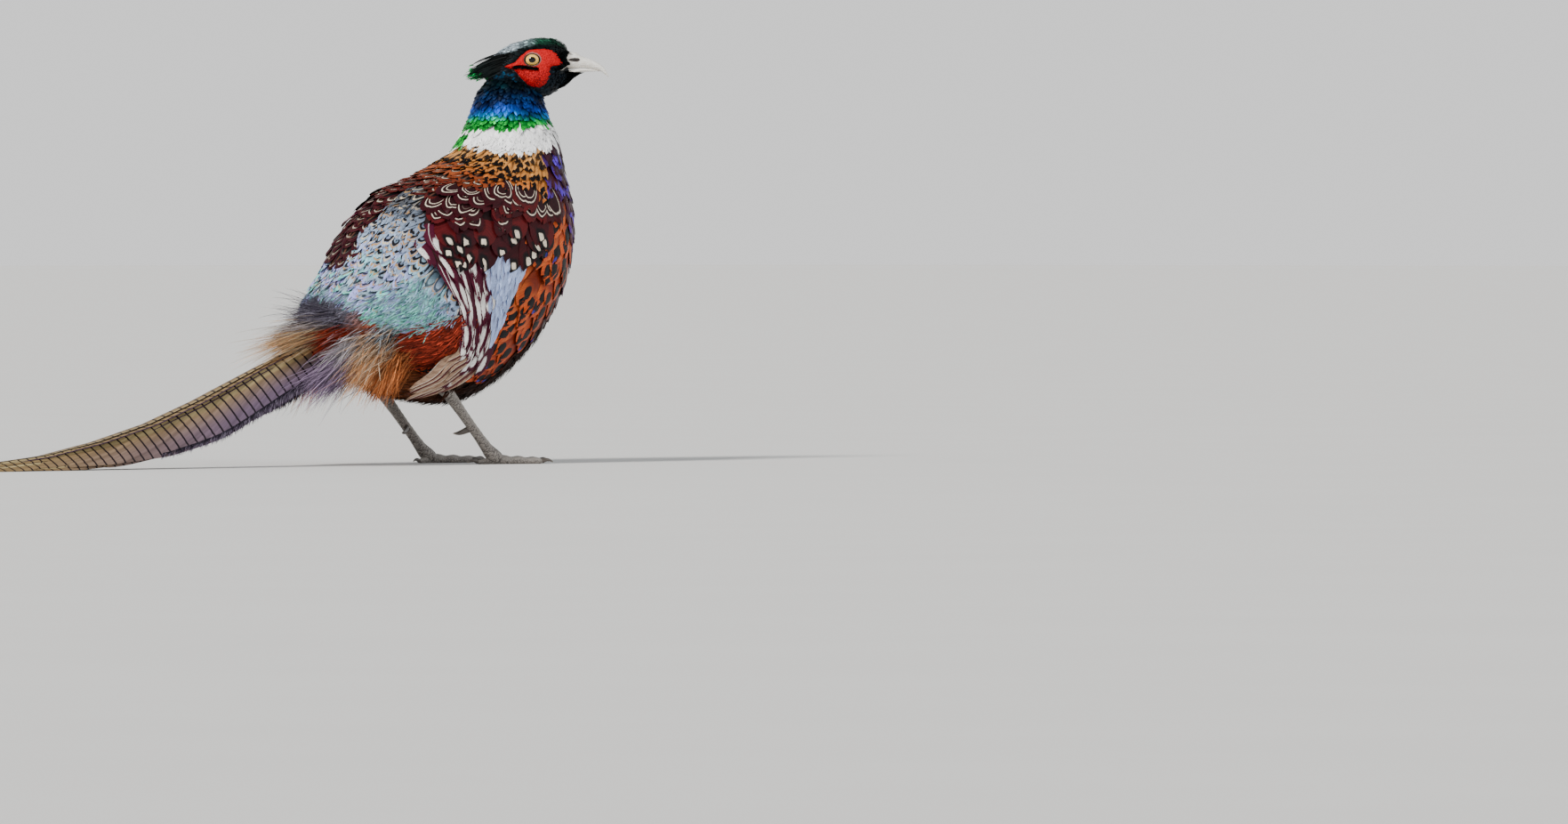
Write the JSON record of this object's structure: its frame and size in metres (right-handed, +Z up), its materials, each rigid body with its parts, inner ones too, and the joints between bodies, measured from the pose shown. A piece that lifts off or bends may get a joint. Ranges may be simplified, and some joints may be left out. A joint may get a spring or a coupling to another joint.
{
  "type": "common pheasant figure",
  "caption": "Life-size still model of a cock common pheasant standing low with its head turned to the right and its long barred tail trailing to the floor.",
  "frame": {"origin": "middle of the box's underside, on the floor that the feet stand on", "axes": "+X towards the bird's breast, away from the tail tip; +Y to the bird's left side; +Z up"},
  "size_m": [0.6796, 0.1232, 0.3087],
  "materials": {
    "plumage_body": "layered glossy feathers, copper-orange and maroon with black tips, blue-grey rump",
    "plumage_neck": "iridescent blue-green neck feathers over a white collar",
    "plumage_head": "short glossy dark green feathers with grey crown and black ear tufts",
    "plumage_wing": "maroon, cream and powder-blue coverts over buff and brown barred flight feathers",
    "plumage_tail": "olive-buff vanes with narrow black bars",
    "plumage_leg": "soft brown-black leg feathers",
    "bare_skin": "bright red pebbled bare skin",
    "bill_horn": "pale horn with a soft gloss",
    "eye": "wet eye with pale yellow iris and black pupil",
    "leg_scales": "grey-brown overlapping scutes",
    "claw_horn": "dark horn, worn paler at the tips"
  },
  "bodies": {
    "root": {"torso": "plumage_body", "neck": "plumage_neck", "tail": "plumage_tail", "tail_end": "plumage_tail", "head": "plumage_head", "bill_upper": "bill_horn", "bill_lower": "bill_horn", "eye_right": "eye", "eye_left": "eye", "wattle_right": "bare_skin", "wattle_left": "bare_skin", "wing_right": "plumage_wing", "wing_left": "plumage_wing", "thigh_right": "plumage_leg", "thigh_left": "plumage_leg", "tarsus_right": "leg_scales", "tarsus_left": "leg_scales", "foot_right": "leg_scales", "foot_left": "leg_scales", "claw_right_inner": "claw_horn", "claw_right_middle": "claw_horn", "claw_right_outer": "claw_horn", "claw_right_hind": "claw_horn", "claw_left_inner": "claw_horn", "claw_left_middle": "claw_horn", "claw_left_outer": "claw_horn", "claw_left_hind": "claw_horn"}
  },
  "joints": []
}
